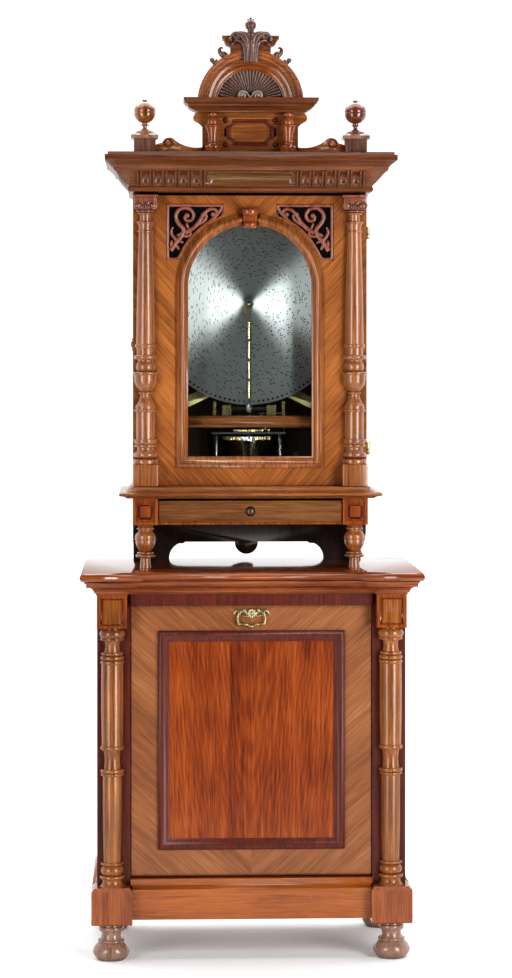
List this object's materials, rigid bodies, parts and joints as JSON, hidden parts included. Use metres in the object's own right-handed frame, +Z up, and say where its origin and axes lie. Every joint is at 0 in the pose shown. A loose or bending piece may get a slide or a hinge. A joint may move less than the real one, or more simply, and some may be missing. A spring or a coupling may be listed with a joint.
{
  "type": "upright disc music box",
  "caption": "Tall upright disc music box on its disc cabinet, with a glazed columned door, carved pediment, coin drawer and tilting disc rack.",
  "frame": {"origin": "on the floor, in the middle of the overall box", "axes": "+X to the viewer's right, +Y from front to back, +Z up"},
  "size_m": [0.822, 0.48, 2.27],
  "materials": {
    "walnut_golden": "polished",
    "walnut_red": "polished",
    "walnut_figured": "polished",
    "mahogany_dark": "polished",
    "carved_brown": "satin",
    "inner_wood": "matte",
    "aged_brass": "satin",
    "disc_steel": "brushed",
    "dark_steel": "satin",
    "bronzed_iron": "satin",
    "pane_glass": "clear"
  },
  "bodies": {
    "case": {"balusters": "carved_brown", "bar_bearings": "aged_brass", "bedplate": "bronzed_iron", "cabinet_carcase": "inner_wood", "cabinet_columns": "walnut_red", "cabinet_corner_blocks": "walnut_red", "cabinet_cornice": "walnut_red", "cabinet_face_frame": "mahogany_dark", "cabinet_feet": "walnut_red", "cabinet_plinth": "walnut_red", "cabinet_top": "walnut_red", "case_back": "walnut_golden", "case_base": "walnut_golden", "case_feet": "walnut_golden", "case_hinge_halves": "aged_brass", "case_sides": "walnut_golden", "coin_chute": "aged_brass", "comb_bridge": "bronzed_iron", "combs": "disc_steel", "cornice": "walnut_golden", "crest_carving": "carved_brown", "crest_cornice": "walnut_golden", "drawer_housing": "walnut_golden", "finials": "walnut_golden", "motor_frame": "aged_brass", "movement_rail": "walnut_golden", "name_board": "carved_brown", "pediment_arch": "walnut_golden", "pediment_board": "walnut_golden", "pediment_cornice": "walnut_golden", "scroll_brackets": "carved_brown", "shell": "carved_brown", "side_plates": "aged_brass"},
    "case_door": {"door_frame": "walnut_golden", "window_moulding": "mahogany_dark", "keystone": "walnut_golden", "spandrel_fretwork": "carved_brown", "door_columns": "walnut_golden", "window_glass": "pane_glass", "door_hinge_halves": "aged_brass"},
    "coin_drawer": {"coin_drawer": "walnut_golden", "drawer_escutcheon": "aged_brass"},
    "cabinet_flap": {"flap": "walnut_red", "flap_panel": "walnut_figured", "flap_moulding": "mahogany_dark", "disc_rack": "inner_wood", "handle_plate": "aged_brass"},
    "bail_handle": {"bail_handle": "aged_brass"},
    "tune_disc": {"tune_disc": "disc_steel"},
    "drive_sprocket": {"drive_sprocket": "dark_steel", "train_wheel": "aged_brass"},
    "spring_barrel": {"spring_barrel": "aged_brass", "great_wheel": "aged_brass"},
    "governor_wheel": {"governor_wheel": "aged_brass"},
    "governor_fan": {"governor_fan": "aged_brass"},
    "star_wheels": {"star_wheels": "dark_steel"},
    "pressure_bar": {"pressure_bar": "dark_steel"},
    "pressure_rollers": {"pressure_rollers": "disc_steel"},
    "bar_latch": {"bar_latch": "aged_brass"},
    "winding_arbor": {"winding_arbor": "dark_steel"}
  },
  "joints": [
    {"name": "door_hinge", "type": "hinge", "parent": "case", "child": "case_door", "pos_m": [0.2908, -0.03225, 1.484], "axis": [0, 0, 1], "range_deg": [0, 110]},
    {"name": "drawer_slide", "type": "slide", "parent": "case", "child": "coin_drawer", "axis": [0, -1, 0], "range_m": [0, 0.18]},
    {"name": "flap_tilt", "type": "hinge", "parent": "case", "child": "cabinet_flap", "pos_m": [0, -0.149, 0.2025], "axis": [1, 0, 0], "range_deg": [0, 25]},
    {"name": "bail_swing", "type": "hinge", "parent": "cabinet_flap", "child": "bail_handle", "pos_m": [0, -0.167, 0.8285], "axis": [-1, 0, 0], "range_deg": [0, 80]},
    {"name": "disc_spin", "type": "hinge", "parent": "case", "child": "tune_disc", "pos_m": [0, 0.0205, 1.575], "axis": [0, 1, 0], "continuous": true},
    {"name": "sprocket_spin", "type": "hinge", "parent": "case", "child": "drive_sprocket", "pos_m": [0, 0.04728, 1.334], "axis": [0, 0, 1], "continuous": true},
    {"name": "barrel_spin", "type": "hinge", "parent": "case", "child": "spring_barrel", "pos_m": [0, 0.12288, 1.19], "axis": [0, 0, 1], "continuous": true},
    {"name": "governor_wheel_spin", "type": "hinge", "parent": "case", "child": "governor_wheel", "pos_m": [0.04285, 0.06287, 1.26], "axis": [0, 0, 1], "continuous": true},
    {"name": "governor_fan_spin", "type": "hinge", "parent": "case", "child": "governor_fan", "pos_m": [0.06691, 0.07163, 1.29], "axis": [0, 0, 1], "continuous": true},
    {"name": "star_spin", "type": "hinge", "parent": "case", "child": "star_wheels", "pos_m": [0, 0.0293, 1.45], "axis": [0, 0, 1], "continuous": true},
    {"name": "bar_swing", "type": "hinge", "parent": "case", "child": "pressure_bar", "pos_m": [0, 0.0159, 1.316], "axis": [1, 0, 0], "range_deg": [0, 6]},
    {"name": "roller_spin", "type": "hinge", "parent": "pressure_bar", "child": "pressure_rollers", "pos_m": [0, 0.0159, 1.44], "axis": [0, 0, 1], "continuous": true},
    {"name": "latch_turn", "type": "hinge", "parent": "pressure_bar", "child": "bar_latch", "pos_m": [-0.0045, 0.0075, 1.548], "axis": [0, -1, 0], "range_deg": [0, 35]},
    {"name": "winding_spin", "type": "hinge", "parent": "case", "child": "winding_arbor", "pos_m": [0.2, 0.12288, 1.19], "axis": [1, 0, 0], "continuous": true}
  ],
  "couplings": [
    {"joint": "sprocket_spin", "follows": "disc_spin", "ratio": -9},
    {"joint": "barrel_spin", "follows": "disc_spin", "ratio": 2.25},
    {"joint": "governor_wheel_spin", "follows": "disc_spin", "ratio": 36},
    {"joint": "governor_fan_spin", "follows": "disc_spin", "ratio": -144}
  ]
}
